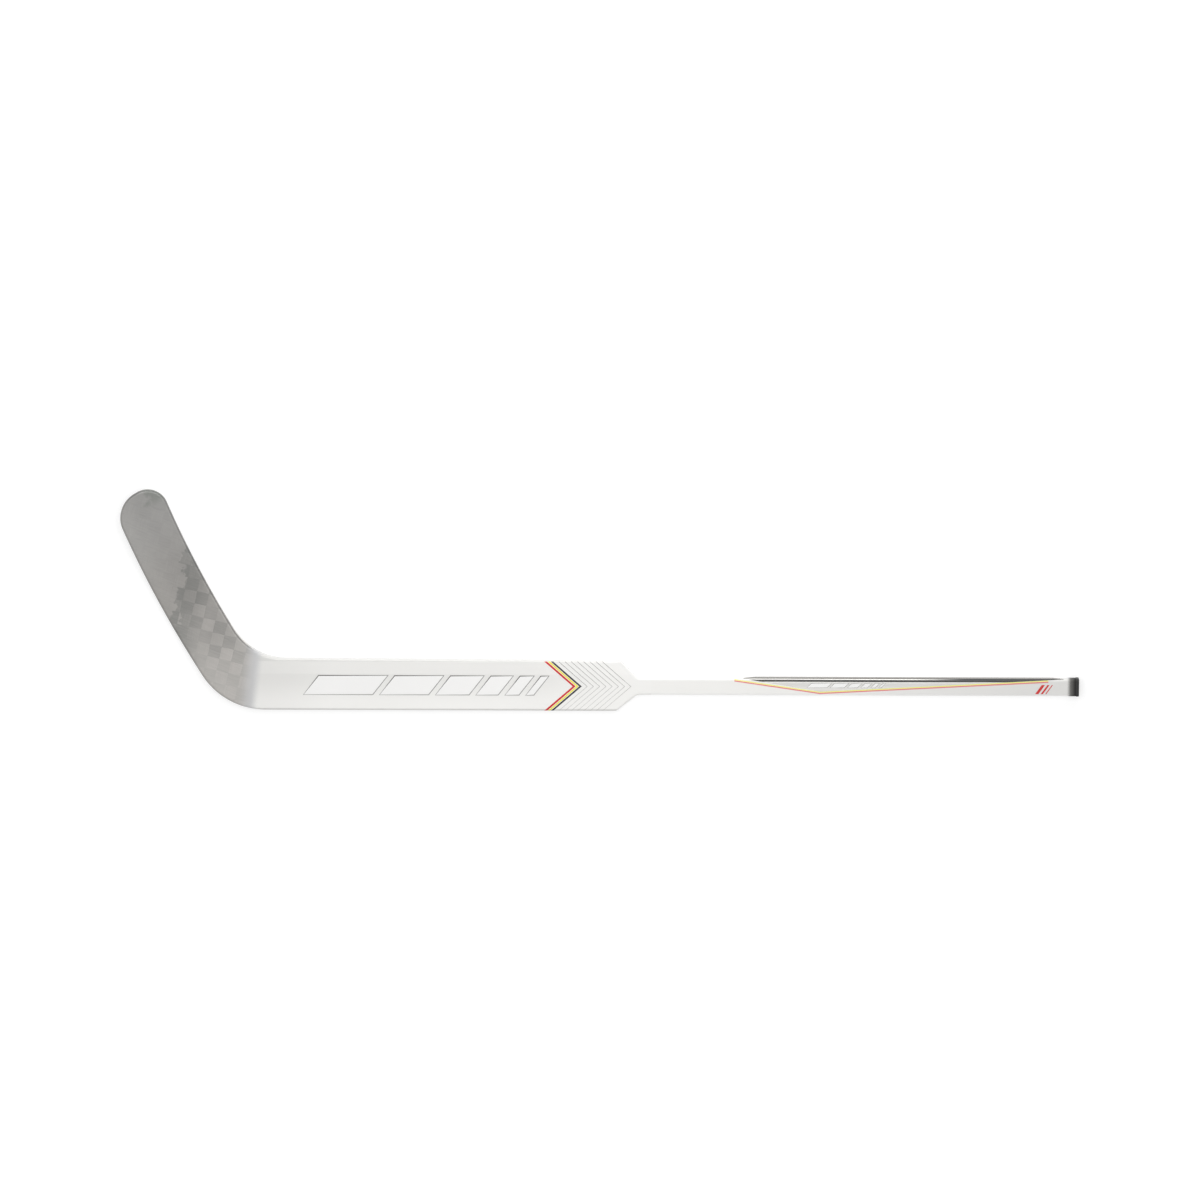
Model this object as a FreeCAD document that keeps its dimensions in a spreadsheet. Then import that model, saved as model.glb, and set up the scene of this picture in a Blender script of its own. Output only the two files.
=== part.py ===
import FreeCAD, Part
import math
import os
import re
import Sketcher

# A hockey goalie stick lying on its flat back.
# X runs from the heel to the butt end, Y from the lower edge to the upper edge, Z from the back to the front.
# The origin is the heel, on the centre line of the shaft, in the plane of the back.
# Lengths are in millimetres and angles in degrees.
SIZES = {
    # paddle: the wide part between the blade and the shaft
    "paddle_length": 658,
    "paddle_width": 84.6,
    "heel_flare": 2.9,
    "stick_thickness": 21,
    "edge_radius": 4,
    "facet_offset": 20,
    "facet_angle": 2.2,
    # shoulder: where the paddle narrows to the shaft
    "shoulder_lead": 7,
    "lower_shoulder_angle": 38.5,
    "upper_shoulder_angle": 45,
    "shoulder_radius": 9,
    "neck_radius": 14,
    "neck_reach": 58,
    # blade outline
    "blade_length": 398,
    "blade_angle": 61.7,
    "blade_width": 87,
    "rocker_radius": 1560,
    "heel_radius": 126,
    "throat_radius": 104,
    "toe_end_radius": 520,
    "toe_tip_offset": 76,
    "toe_lower_radius": 50,
    "toe_upper_radius": 35,
    # blade thickness and curve
    "drop_length": 170,
    "blade_root_height": 12.5,
    "curve_start": 132,
    "toe_rise": 26,
    "toe_thickness": 9.5,
    # laminate shells and what they hold
    "face_wall": 1.2,
    "side_wall": 1.8,
    "seam_place": 35,
    "seam_angle": 7.4,
    "rail_width": 6,
    "stringer_width": 2.5,
    "heel_cut": 95,
    "blade_cut": 95,
    "toe_core_length": 71,
    "rib_width": 3,
    "rib_offset": 36.5,
    "block_length": 40,
    # shaft
    "shaft_length": 715,
    "shaft_width": 29.5,
    "shaft_wall": 2,
    "tenon_depth": 80,
    "tenon_reach": 60,
    "tenon_wall": 2.5,
    "tenon_radius": 2,
    # end plug
    "flange_thickness": 5,
    "flange_lip": 0.5,
    "flange_round": 1.5,
    "spigot_length": 42,
    "spigot_gap": 0.6,
    "spigot_wall": 2.5,
    "rib_gap": 0.06,
    "plug_rib_width": 2,
    "plug_rib_pitch": 9,
    "plug_rib_start": 6,
    "tip_chamfer": 1.5,
    # how far construction solids run past what they cut
    "overrun": 10,
}
PLUG_RIBS = 4
# the most of the toe's thickness that the rounding of each rim may take
RIM_SHARE = 0.45
# a face is taken for a wall where its normal is less upright than this share
WALL_SHARE = 0.5
# the numbers by which a sketch knows the points of a curve
START, END, CENTRE = range(1, 4)

doc = FreeCAD.newDocument("goalie_stick")
sheet = doc.addObject("Spreadsheet::Sheet", "Sizes")
for row, (alias, number) in enumerate(SIZES.items(), start=1):
    sheet.set(f"A{row}", alias)
    sheet.set(f"B{row}", str(number))
    sheet.setAlias(f"B{row}", alias)
doc.recompute()

# Places that several pieces share, as formulas of the sheet's sizes
HALF_PADDLE = "paddle_width / 2"
NECK_END = "(paddle_length + neck_reach)"
BLOCK_START = "(paddle_length - block_length)"
TUBE_END = f"({NECK_END} + shaft_length)"
MID_HEIGHT = "stick_thickness / 2"
TENON_HALF = "(shaft_width / 2 - side_wall)"
FULL_HEIGHT = "(stick_thickness + toe_rise + toe_thickness)"
FULL_REACH = "(paddle_length + neck_reach + blade_length)"
PROFILE_REACH = "(blade_length + overrun)"
ZONE_HEIGHT = f"{FULL_HEIGHT} + 2 * overrun"


def formula(text):
    """Point each size named in the text at its cell in the sheet."""
    return re.sub(r"[a-z_]+", lambda m: f"Sizes.{m[0]}" if m[0] in SIZES else m[0], text)


def bind(thing, **formulas):
    """Bind properties of an object to formulas; two underscores stand for a dot."""
    for path, text in formulas.items():
        thing.setExpression(path.replace("__", "."), formula(text))


def value(text):
    """What a formula comes to with the sheet's sizes."""
    return sheet.evalExpression(formula(text))


def constrain(sketch, kind, *places, to):
    """Add a constraint whose value follows a formula."""
    index = sketch.addConstraint(Sketcher.Constraint(kind, *places, value(to)))
    sketch.setExpression(f"Constraints[{index}]", formula(to))


def fixed_points(sketch, places):
    """Add construction points at places given as formulas; return their numbers and places by name."""
    origin = -1
    numbers, at = {}, {}
    for name, (x, y) in places.items():
        at[name] = FreeCAD.Vector(value(x), value(y), 0)
        numbers[name] = sketch.addGeometry(Part.Point(at[name]), True)
        constrain(sketch, "DistanceX", origin, START, numbers[name], START, to=x)
        constrain(sketch, "DistanceY", origin, START, numbers[name], START, to=y)
    return numbers, at


# Every sketch curve is kept as (number, end where the outline enters, end where it leaves)
def add_line(sketch, start, end):
    return sketch.addGeometry(Part.LineSegment(start, end), False), START, END


def add_arc(sketch, centre, start, end, turn):
    """Add an arc about a centre; turn is 1 where the outline follows it counterclockwise, else -1."""
    circle = Part.Circle(centre, FreeCAD.Vector(0, 0, 1), (start - centre).Length)
    limits = [circle.parameter(start), circle.parameter(end)]
    number = sketch.addGeometry(Part.ArcOfCircle(circle, *limits[::turn]), False)
    return (number, START, END) if turn > 0 else (number, END, START)


def join(sketch, first, second, kind="Tangent"):
    """Make the end of one curve the start of the next."""
    sketch.addConstraint(Sketcher.Constraint(kind, first[0], first[2], second[0], second[1]))


def on_curve(sketch, point, curve):
    sketch.addConstraint(Sketcher.Constraint("PointOnObject", point, START, curve[0]))


def stick_outline():
    """The outline of blade, paddle and shoulder, seen from the front."""
    sketch = doc.addObject("Sketcher::SketchObject", "stick_outline")
    lower_drop = f"({HALF_PADDLE} - shaft_width / 2)"
    stub_end = f"{NECK_END} + overrun"
    blade_x = "-({along}) * cos(blade_angle) + ({across}) * sin(blade_angle)"
    blade_y = f"-{HALF_PADDLE} + ({{along}}) * sin(blade_angle) + ({{across}}) * cos(blade_angle)"

    def in_blade(along, across):
        return blade_x.format(along=along, across=across), blade_y.format(along=along, across=across)

    points, at = fixed_points(sketch, {
        "heel": ("0", f"-{HALF_PADDLE}"),
        "lower_shoulder": ("paddle_length", f"-{HALF_PADDLE}"),
        "lower_neck": (f"paddle_length + {lower_drop} / tan(lower_shoulder_angle)", "-shaft_width / 2"),
        "lower_end": (stub_end, "-shaft_width / 2"),
        "upper_end": (stub_end, "shaft_width / 2"),
        "upper_neck": (f"paddle_length + shoulder_lead + {lower_drop} / tan(upper_shoulder_angle)",
                       "shaft_width / 2"),
        "upper_shoulder": ("paddle_length + shoulder_lead", HALF_PADDLE),
        "upper_heel": ("0", f"{HALF_PADDLE} + heel_flare"),
        "toe_foot": in_blade("blade_length", "0"),
        "toe_centre": in_blade("blade_length - toe_end_radius", "toe_tip_offset"),
        "toe_head": in_blade("blade_length", "blade_width"),
        "root_head": in_blade("0", "blade_width"),
    })
    # where the upper edge of the blade would meet the upper edge of the paddle
    climb = (at["upper_heel"].y - at["root_head"].y) / (at["toe_head"].y - at["root_head"].y)
    at["throat"] = at["root_head"] + (at["toe_head"] - at["root_head"]) * climb

    # corners in the order in which the outline passes them: radius, and 1 where the outline is convex
    corners = {
        "lower_shoulder": ("shoulder_radius", 1),
        "lower_neck": ("neck_radius", -1),
        "lower_end": None,
        "upper_end": None,
        "upper_neck": ("neck_radius", -1),
        "upper_shoulder": ("shoulder_radius", 1),
        "throat": ("throat_radius", -1),
        "toe_head": ("toe_upper_radius", 1),
        "toe_foot": ("toe_lower_radius", 1),
        "heel": ("heel_radius", 1),
    }
    # each side is named for the corner where it starts; the straight ones pass through two points
    straight = {
        "heel": ("heel", "lower_shoulder"),
        "lower_shoulder": ("lower_shoulder", "lower_neck"),
        "lower_neck": ("lower_neck", "lower_end"),
        "lower_end": ("lower_end", "upper_end"),
        "upper_end": ("upper_end", "upper_neck"),
        "upper_neck": ("upper_neck", "upper_shoulder"),
        "upper_shoulder": ("upper_shoulder", "upper_heel"),
    }
    # the bowed ones: centre, radius, and 1 where the side bulges outwards
    chord = at["toe_foot"] - at["heel"]
    across = FreeCAD.Vector(chord.y, -chord.x, 0).normalize()
    reach = math.sqrt(value("rocker_radius") ** 2 - chord.Length ** 2 / 4)
    rocker_centre = (at["toe_foot"] + at["heel"]) / 2 + across * reach
    bowed = {
        "throat": (rocker_centre, "rocker_radius - blade_width", -1),
        "toe_head": (at["toe_centre"], "toe_end_radius", 1),
        "toe_foot": (rocker_centre, "rocker_radius", 1),
    }

    def moved_in(side, depth):
        """The curve of a side, moved into the outline."""
        if side in bowed:
            middle, radius, bulge = bowed[side]
            return Part.Circle(middle, FreeCAD.Vector(0, 0, 1), value(radius) - bulge * depth)
        start, end = (at[name] for name in straight[side])
        left = FreeCAD.Vector(start.y - end.y, end.x - start.x, 0).normalize()
        return Part.Line(start + left * depth, end + left * depth)

    def touching(side, middle):
        """Where an arc about a middle touches a side."""
        if side in bowed:
            centre, radius, _ = bowed[side]
            return centre + (middle - centre).normalize() * value(radius)
        start, end = (at[name] for name in straight[side])
        along = (end - start).normalize()
        return start + along * (middle - start).dot(along)

    names = list(corners)
    rounds = {}
    for place, name in enumerate(names):
        if not corners[name]:
            rounds[name] = (at[name], at[name], at[name])
            continue
        before = names[place - 1]
        radius, turn = value(corners[name][0]), corners[name][1]
        crossings = moved_in(before, turn * radius).intersectCC(moved_in(name, turn * radius))
        middles = [FreeCAD.Vector(c.X, c.Y, 0) for c in crossings]
        middle = min(middles, key=lambda m: m.distanceToPoint(at[name]))
        rounds[name] = (middle, touching(before, middle), touching(name, middle))

    sides, chain = {}, []
    for place, name in enumerate(names):
        following = names[(place + 1) % len(names)]
        start, end = rounds[name][2], rounds[following][1]
        if corners[name]:
            radius, turn = corners[name]
            arc = add_arc(sketch, *rounds[name], turn)
            constrain(sketch, "Radius", arc[0], to=radius)
            chain.append(arc)
        if name in bowed:
            middle, radius, bulge = bowed[name]
            sides[name] = add_arc(sketch, middle, start, end, bulge)
            constrain(sketch, "Radius", sides[name][0], to=radius)
        else:
            sides[name] = add_line(sketch, start, end)
        chain.append(sides[name])

    for place, curve in enumerate(chain):
        following = chain[(place + 1) % len(chain)]
        sharp = curve[0] in (sides["lower_neck"][0], sides["lower_end"][0])
        join(sketch, curve, following, "Coincident" if sharp else "Tangent")

    for side, through in {**straight, "toe_foot": ("toe_foot", "heel")}.items():
        for name in through:
            on_curve(sketch, points[name], sides[side])
    centres = {"throat": (sides["toe_foot"][0], CENTRE), "toe_head": (points["toe_centre"], START)}
    for side, middle in centres.items():
        sketch.addConstraint(Sketcher.Constraint("Coincident", sides[side][0], CENTRE, *middle))
    return sketch


def side_profile(name, floor, heights):
    """The blade's side view: flat behind the heel, then thinner and curved up to the toe.

    floor lifts the back line; heights are the front line's height on the paddle, at the blade's root
    and at the toe.
    """
    sketch = doc.addObject("Sketcher::SketchObject", name)
    sketch.setExpression("Placement", formula(
        f"placement(vector(0; -{HALF_PADDLE}; 0);"
        " rotation(vector(0; 0; 1); 180 - blade_angle) * rotation(vector(1; 0; 0); 90))"))
    paddle, root, toe = heights
    points, at = fixed_points(sketch, {
        "back_rear": (f"-{FULL_REACH}", floor),
        "back_bend": ("curve_start", floor),
        "back_toe": (PROFILE_REACH, f"toe_rise + {floor}"),
        "front_toe": (PROFILE_REACH, toe),
        "front_root": ("drop_length", root),
        "front_start": ("0", paddle),
        "front_rear": (f"-{FULL_REACH}", paddle),
    })
    half_way = (at["front_start"] + at["front_root"]) / 2

    def level_centre(level, other):
        """The centre of an arc that is level at one end and passes through the other."""
        run, rise = other.x - level.x, other.y - level.y
        return level + FreeCAD.Vector(0, (run ** 2 + rise ** 2) / (2 * rise), 0)

    back = add_line(sketch, at["back_rear"], at["back_bend"])
    bend_centre = level_centre(at["back_bend"], at["back_toe"])
    back_curve = add_arc(sketch, bend_centre, at["back_bend"], at["back_toe"], 1)
    toe_end = add_line(sketch, at["back_toe"], at["front_toe"])
    front_centre = level_centre(at["front_root"], at["front_toe"])
    front_curve = add_arc(sketch, front_centre, at["front_toe"], at["front_root"], -1)
    root_curve = add_arc(sketch, level_centre(at["front_root"], half_way), at["front_root"], half_way, -1)
    heel_curve = add_arc(sketch, level_centre(at["front_start"], half_way), half_way, at["front_start"], 1)
    front = add_line(sketch, at["front_start"], at["front_rear"])
    rear = add_line(sketch, at["front_rear"], at["back_rear"])
    chain = [back, back_curve, toe_end, front_curve, root_curve, heel_curve, front, rear]
    smooth = (back, front_curve, root_curve, heel_curve)
    for place, curve in enumerate(chain):
        join(sketch, curve, chain[(place + 1) % len(chain)], "Tangent" if curve in smooth else "Coincident")

    # each curve starts at one of the points, but for the two that meet half way down the slope
    starts = {"back_rear": back, "back_bend": back_curve, "back_toe": toe_end, "front_toe": front_curve,
              "front_root": root_curve, "front_start": front, "front_rear": rear}
    for place, (number, entry, _) in starts.items():
        sketch.addConstraint(Sketcher.Constraint("Coincident", number, entry, points[place], START))
    sketch.addConstraint(Sketcher.Constraint("Equal", root_curve[0], heel_curve[0]))
    sketch.addConstraint(Sketcher.Constraint("Vertical", front_curve[0], CENTRE, points["front_root"], START))
    return sketch


def prism(name, outline):
    """The outline raised through the whole height of the stick."""
    solid = doc.addObject("Part::Extrusion", name)
    solid.Base = outline
    solid.DirMode = "Normal"
    solid.Solid = True
    bind(solid, LengthFwd=FULL_HEIGHT, LengthRev="overrun")
    return solid


def slab(name, profile):
    """The side profile drawn out across the whole stick."""
    solid = doc.addObject("Part::Extrusion", name)
    solid.Base = profile
    solid.DirMode = "Normal"
    solid.Solid = True
    solid.Symmetric = True
    bind(solid, LengthFwd=f"2 * {FULL_REACH}")
    return solid


def inset(name, outline, distance):
    """The outline drawn in by a distance."""
    smaller = doc.addObject("Part::Offset2D", name)
    smaller.Source = outline
    bind(smaller, Value=f"-({distance})")
    return smaller


def common(name, base, tool):
    shared = doc.addObject("Part::Common", name)
    shared.Base = base
    shared.Tool = tool
    return shared


def cut(name, base, tool):
    rest = doc.addObject("Part::Cut", name)
    rest.Base = base
    rest.Tool = tool
    return rest


def zone(name, start, end, low=f"-{FULL_REACH}", high=FULL_REACH):
    """A box through the whole height, between two places along the stick and two across it."""
    box = doc.addObject("Part::Box", name)
    bind(box, Length=f"({end}) - ({start})", Width=f"({high}) - ({low})", Height=ZONE_HEIGHT,
         Placement__Base__x=start, Placement__Base__y=low, Placement__Base__z="-overrun")
    return box


def blade_zone(name, start, end, low=f"-{FULL_REACH}", high=FULL_REACH):
    """A box as zone() makes, but along the blade from the heel, and across it from its lower edge."""
    box = doc.addObject("Part::Box", name)
    bind(box, Length=f"({end}) - ({start})", Width=f"({high}) - ({low})", Height=ZONE_HEIGHT,
         Placement=f"placement(vector(0; -{HALF_PADDLE}; -overrun);"
                   " rotation(vector(0; 0; 1); 180 - blade_angle))"
                   f" * placement(vector({start}; -({high}); 0); rotation(vector(0; 0; 1); 0))")
    return box


def facet(name, depth):
    """What is cut from the front above the crease, so that the upper part of the face leans back."""
    box = doc.addObject("Part::Box", name)
    bind(box, Length=f"2 * {FULL_REACH}", Width="drop_length - facet_offset", Height=FULL_HEIGHT,
         Placement=f"placement(vector(-{FULL_REACH}; facet_offset; stick_thickness - ({depth}));"
                   " rotation(vector(1; 0; 0); -facet_angle))")
    return box


def is_rim(shape, edge):
    """Whether an edge is where the front or the back meets the outline's wall."""
    steepness = []
    for face in shape.ancestorsOfType(edge, Part.Face):
        where = edge.valueAt((edge.FirstParameter + edge.LastParameter) / 2)
        normal = face.normalAt(*face.Surface.parameter(where))
        steepness.append(abs(normal.z))
    return min(steepness) < WALL_SHARE < max(steepness)


def rounded_blank(blank):
    """The blank with its front and back rims rounded."""
    doc.recompute()
    body = doc.addObject("PartDesign::Body", "rounded_blank")
    body.BaseFeature = blank
    doc.recompute()
    base = body.Tip
    neck_end = value(NECK_END)
    rims = []
    for number, edge in enumerate(base.Shape.Edges, start=1):
        past_end = all(vertex.X > neck_end for vertex in edge.Vertexes)
        if is_rim(base.Shape, edge) and not past_end:
            rims.append(f"Edge{number}")
    fillet = body.newObject("PartDesign::Fillet", "rim_fillet")
    fillet.Base = (base, rims)
    bind(fillet, Radius=f"min(edge_radius; {RIM_SHARE} * toe_thickness)")
    return body


def name_part(thing, label):
    """Give a sub-part the label that names its node."""
    thing.Label = label
    sub_parts.append(thing)
    return thing


def laminate_and_cores():
    """Front and back shells of blade and paddle, and the cores, rails and ribs inside them."""
    outline = stick_outline()
    outer_profile = side_profile("outer_profile", "0", ("stick_thickness", "blade_root_height",
                                                         "toe_rise + toe_thickness"))
    inner_profile = side_profile("inner_profile", "face_wall", (
        "stick_thickness - face_wall", "blade_root_height - face_wall",
        "toe_rise + toe_thickness - face_wall"))
    back_profile = side_profile("back_profile", "0", (
        MID_HEIGHT, "blade_root_height / 2", "toe_rise + toe_thickness / 2"))
    blank = common("blank", prism("outline_prism", outline), slab("outer_slab", outer_profile))
    rounded = rounded_blank(blank)
    trimmed = cut("trimmed", rounded, zone("past_neck", NECK_END, f"{NECK_END} + {FULL_REACH}"))
    outside = cut("outside", trimmed, facet("outer_facet", "0"))
    inner_prism = prism("inner_prism", inset("inner_outline", outline, "side_wall"))
    raw_cavity = common("raw_cavity", inner_prism, slab("inner_slab", inner_profile))
    cavity = cut("cavity", raw_cavity, facet("inner_facet", "face_wall"))

    # laminate: a back and a front half, each parted again at the seam by the heel
    laminate = cut("laminate", outside, cavity)
    back_slab = slab("back_slab", back_profile)
    halves = {
        "back": common("back_half", laminate, back_slab),
        "front": cut("front_half", laminate, back_slab),
    }
    blade_side = doc.addObject("Part::Box", "blade_side")
    bind(blade_side, Length=FULL_REACH, Width=f"2 * {FULL_REACH}", Height=ZONE_HEIGHT,
         Placement="placement(vector(seam_place; 0; -overrun); rotation(vector(0; 0; 1); -seam_angle))"
                   f" * placement(vector(-{FULL_REACH}; -{FULL_REACH}; 0); rotation(vector(0; 0; 1); 0))")
    for side, half in halves.items():
        name_part(common(f"blade_{side}", half, blade_side), f"blade_{side}_shell")
        name_part(cut(f"paddle_{side}", half, blade_side), f"paddle_{side}_shell")

    # paddle: rails along its edges, and cores between stringers in line with the shaft's sides
    paddle_fill = common("paddle_fill", cavity, zone("paddle_span", "heel_cut", BLOCK_START))
    core_prism = prism("core_prism", inset("core_outline", outline, "side_wall + rail_width"))
    rails = cut("rails", paddle_fill, core_prism)
    cores = common("cores", paddle_fill, core_prism)
    inner_side, outer_side = TENON_HALF, f"({TENON_HALF} + stringer_width)"
    paddle_pieces = {
        "paddle_upper_rail": (rails, "0", FULL_REACH),
        "paddle_upper_core": (cores, outer_side, FULL_REACH),
        "paddle_upper_stringer": (cores, inner_side, outer_side),
        "paddle_centre_core": (cores, f"-{inner_side}", inner_side),
        "paddle_lower_stringer": (cores, f"-{outer_side}", f"-{inner_side}"),
        "paddle_lower_core": (cores, f"-{FULL_REACH}", f"-{outer_side}"),
        "paddle_lower_rail": (rails, f"-{FULL_REACH}", "0"),
    }
    for label, (fill, low, high) in paddle_pieces.items():
        band = zone(f"{label}_band", "0", BLOCK_START, low, high)
        name_part(common(f"{label}_fill", fill, band), label)

    # heel and blade: a dense heel core, then two cores beside a rib, and a toe core
    heel_fill = common("heel_fill", cavity, zone("heel_span", f"-{FULL_REACH}", "heel_cut"))
    blade_span = blade_zone("blade_span", "blade_cut", FULL_REACH)
    name_part(cut("heel", heel_fill, blade_span), "heel_core")
    blade_fill = common("blade_fill", heel_fill, blade_span)
    rib_low, rib_high = "rib_offset - rib_width / 2", "rib_offset + rib_width / 2"
    toe_cut = "blade_length - toe_core_length"
    blade_pieces = {
        "blade_lower_core": ("blade_cut", toe_cut, f"-{FULL_REACH}", rib_low),
        "blade_rib": ("blade_cut", toe_cut, rib_low, rib_high),
        "blade_upper_core": ("blade_cut", toe_cut, rib_high, FULL_REACH),
        "blade_toe_core": (toe_cut, FULL_REACH, f"-{FULL_REACH}", FULL_REACH),
    }
    for label, limits in blade_pieces.items():
        name_part(common(f"{label}_fill", blade_fill, blade_zone(f"{label}_band", *limits)), label)

    # shoulder: a block round the socket of the tenon
    socket = doc.addObject("Part::Box", "tenon_socket")
    bind(socket, Length="tenon_depth + overrun", Width=f"2 * {TENON_HALF}",
         Height="stick_thickness - 2 * face_wall", Placement__Base__x=f"{NECK_END} - tenon_depth",
         Placement__Base__y=f"-{TENON_HALF}", Placement__Base__z="face_wall")
    shoulder_fill = common("shoulder_fill", cavity, zone("shoulder_span", BLOCK_START, NECK_END))
    name_part(cut("shoulder", shoulder_fill, socket), "shoulder_block")


def cross_section(body, name, place, *outlines):
    """A sketch square to the shaft, of rounded rectangles given as (width, height, radius)."""
    sketch = body.newObject("Sketcher::SketchObject", name)
    plane = next(f for f in body.Origin.OriginFeatures if f.Role == "YZ_Plane")
    sketch.AttachmentSupport = (plane, "")
    sketch.MapMode = "FlatFace"
    bind(sketch, AttachmentOffset__Base__z=place)
    for width, height, radius in outlines:
        reach, rise = f"(({width}) / 2 - ({radius}))", f"(({height}) / 2 - ({radius}))"
        turns = ((1, 1), (-1, 1), (-1, -1), (1, -1))
        centres, at = fixed_points(sketch, {
            turn: (f"{turn[0]} * {reach}", f"{MID_HEIGHT} + {turn[1]} * {rise}") for turn in turns})
        arcs = []
        for quarter, turn in enumerate(turns):
            circle = Part.Circle(at[turn], FreeCAD.Vector(0, 0, 1), value(radius))
            arc = Part.ArcOfCircle(circle, quarter * math.pi / 2, (quarter + 1) * math.pi / 2)
            number = sketch.addGeometry(arc, False)
            sketch.addConstraint(Sketcher.Constraint("Coincident", number, CENTRE, centres[turn], START))
            constrain(sketch, "Radius", number, to=radius)
            arcs.append((number, START, END))
        for quarter, arc in enumerate(arcs):
            following = arcs[(quarter + 1) % len(arcs)]
            line = add_line(sketch, sketch.getPoint(arc[0], END), sketch.getPoint(following[0], START))
            join(sketch, arc, line)
            join(sketch, line, following)
    return sketch


def pad(body, name, sketch, length):
    """Draw a cross section out towards the butt end."""
    feature = body.newObject("PartDesign::Pad", name)
    feature.Profile = sketch
    bind(feature, Length=length)
    return feature


BORE = ("shaft_width - 2 * shaft_wall", "stick_thickness - 2 * shaft_wall", "(edge_radius - shaft_wall / 2)")


def within_bore(gap):
    """The bore's cross section drawn in by a gap all round."""
    width, height, radius = BORE
    return f"{width} - 2 * ({gap})", f"{height} - 2 * ({gap})", radius


def shaft_tube():
    """The hollow shaft, from the shoulder to the butt end."""
    body = doc.addObject("PartDesign::Body", "shaft")
    outside = ("shaft_width", "stick_thickness", "edge_radius")
    walls = cross_section(body, "shaft_walls", NECK_END, outside, BORE)
    pad(body, "shaft_run", walls, "shaft_length")
    name_part(body, "shaft_tube")


def hosel_tenon():
    """The hollow tenon that joins the shoulder block to the shaft."""
    body = doc.addObject("PartDesign::Body", "tenon")
    walls = "2 * (shaft_wall + tenon_wall)"
    hollow = (f"shaft_width - {walls}", f"stick_thickness - {walls}", "tenon_radius / 2")
    socket = (f"2 * {TENON_HALF}", "stick_thickness - 2 * face_wall", "tenon_radius")
    in_block = cross_section(body, "tenon_in_block", f"{NECK_END} - tenon_depth", socket, hollow)
    pad(body, "tenon_block_run", in_block, "tenon_depth")
    in_shaft = cross_section(body, "tenon_in_shaft", NECK_END, BORE, hollow)
    pad(body, "tenon_shaft_run", in_shaft, "tenon_reach")
    name_part(body, "hosel_tenon")


def end_plug():
    """The plug that closes the butt end: a flange, and a hollow spigot with ribs that grip the bore."""
    body = doc.addObject("PartDesign::Body", "plug")
    tip = f"{TUBE_END} - spigot_length"
    width, height, radius = within_bore("spigot_gap")
    hollow = (f"{width} - 2 * spigot_wall", f"{height} - 2 * spigot_wall", f"{radius} / 2")
    spigot = cross_section(body, "spigot_section", tip, (width, height, radius), hollow)
    pad(body, "spigot", spigot, "spigot_length")
    flange = cross_section(body, "flange_section", TUBE_END,
                           ("shaft_width + 2 * flange_lip", "stick_thickness", "edge_radius"))
    pad(body, "flange", flange, "flange_thickness")
    for count in range(PLUG_RIBS):
        place = f"{tip} + plug_rib_start + {count} * plug_rib_pitch"
        ring = cross_section(body, f"rib_section_{count}", place, within_bore("rib_gap"), hollow)
        pad(body, f"rib_{count}", ring, "plug_rib_width")
    outer = dress(body, "PartDesign::Fillet", "flange_fillet", max)
    bind(outer, Radius="flange_round")
    inner = dress(body, "PartDesign::Chamfer", "tip_bevel", min)
    bind(inner, Size="tip_chamfer")
    name_part(body, "end_plug")


def dress(body, kind, name, furthest):
    """Round or bevel the outer edges of the body's first or last face along the shaft."""
    doc.recompute()
    base = body.Tip
    rim = furthest(base.Shape.Faces, key=lambda face: face.CenterOfMass.x).OuterWire.Edges
    chosen = [f"Edge{n}" for n, e in enumerate(base.Shape.Edges, start=1) if any(e.isSame(r) for r in rim)]
    feature = body.newObject(kind, name)
    feature.Base = (base, chosen)
    return feature


sub_parts = []
laminate_and_cores()
shaft_tube()
hosel_tenon()
end_plug()
doc.recompute()

for thing in doc.Objects:
    if "Invalid" in thing.State or "Error" in thing.State:
        raise RuntimeError(f"{thing.Name} failed: {thing.State}")
for thing in sub_parts:
    if thing.Shape.isNull() or not thing.Shape.isValid():
        raise RuntimeError(f"{thing.Label} has no valid shape")

os.makedirs("parts", exist_ok=True)
for thing in sub_parts:
    thing.Shape.exportStep(f"parts/{thing.Label}.step")
    print(thing.Label, len(thing.Shape.Solids), "solid", round(thing.Shape.Volume), "mm3")
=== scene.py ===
import math

import bmesh
import bpy
from mathutils import Matrix, Vector
from mathutils.bvhtree import BVHTree


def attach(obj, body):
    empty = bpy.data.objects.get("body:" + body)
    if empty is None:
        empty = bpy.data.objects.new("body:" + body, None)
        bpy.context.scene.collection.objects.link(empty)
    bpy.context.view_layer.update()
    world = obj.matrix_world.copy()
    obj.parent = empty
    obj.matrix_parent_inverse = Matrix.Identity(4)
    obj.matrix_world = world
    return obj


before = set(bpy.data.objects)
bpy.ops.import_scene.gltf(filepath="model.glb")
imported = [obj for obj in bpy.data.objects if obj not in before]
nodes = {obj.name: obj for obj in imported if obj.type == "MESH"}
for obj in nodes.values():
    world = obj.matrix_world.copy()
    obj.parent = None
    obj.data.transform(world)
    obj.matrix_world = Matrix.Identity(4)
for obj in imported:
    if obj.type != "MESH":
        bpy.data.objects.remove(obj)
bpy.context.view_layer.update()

# All lengths are in metres. X runs from the heel to the butt end, Y across the paddle, Z up from the back.
FRONT = 0.021                     # height of the front face
PADDLE_HALF = 0.0423              # half the width of the paddle
CREASE = 0.020                    # where the upper facet of the paddle starts
SHAFT_HALF = 0.01475              # half the width of the shaft
CORNER = 0.004                    # rounding of the long corners
BUTT = 1.431                      # where the shaft ends and the plug's flange starts
BLADE_TURN = math.radians(61.7)   # between the blade and the line of the paddle
WEAVE_TURN = math.radians(13)     # between the blade's tows and the line of the paddle
WEAVE_SQUARE = 0.0205             # width of a tow of the blade
FILM = 0.00012                    # thickness of a printed film
GLUE = 0.00002                    # thickness of the glue under it
PROUD = GLUE + FILM               # how far a film's face stands off the stick
MIDDLE = (0.63, 0.15)             # the middle of the stage
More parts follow.
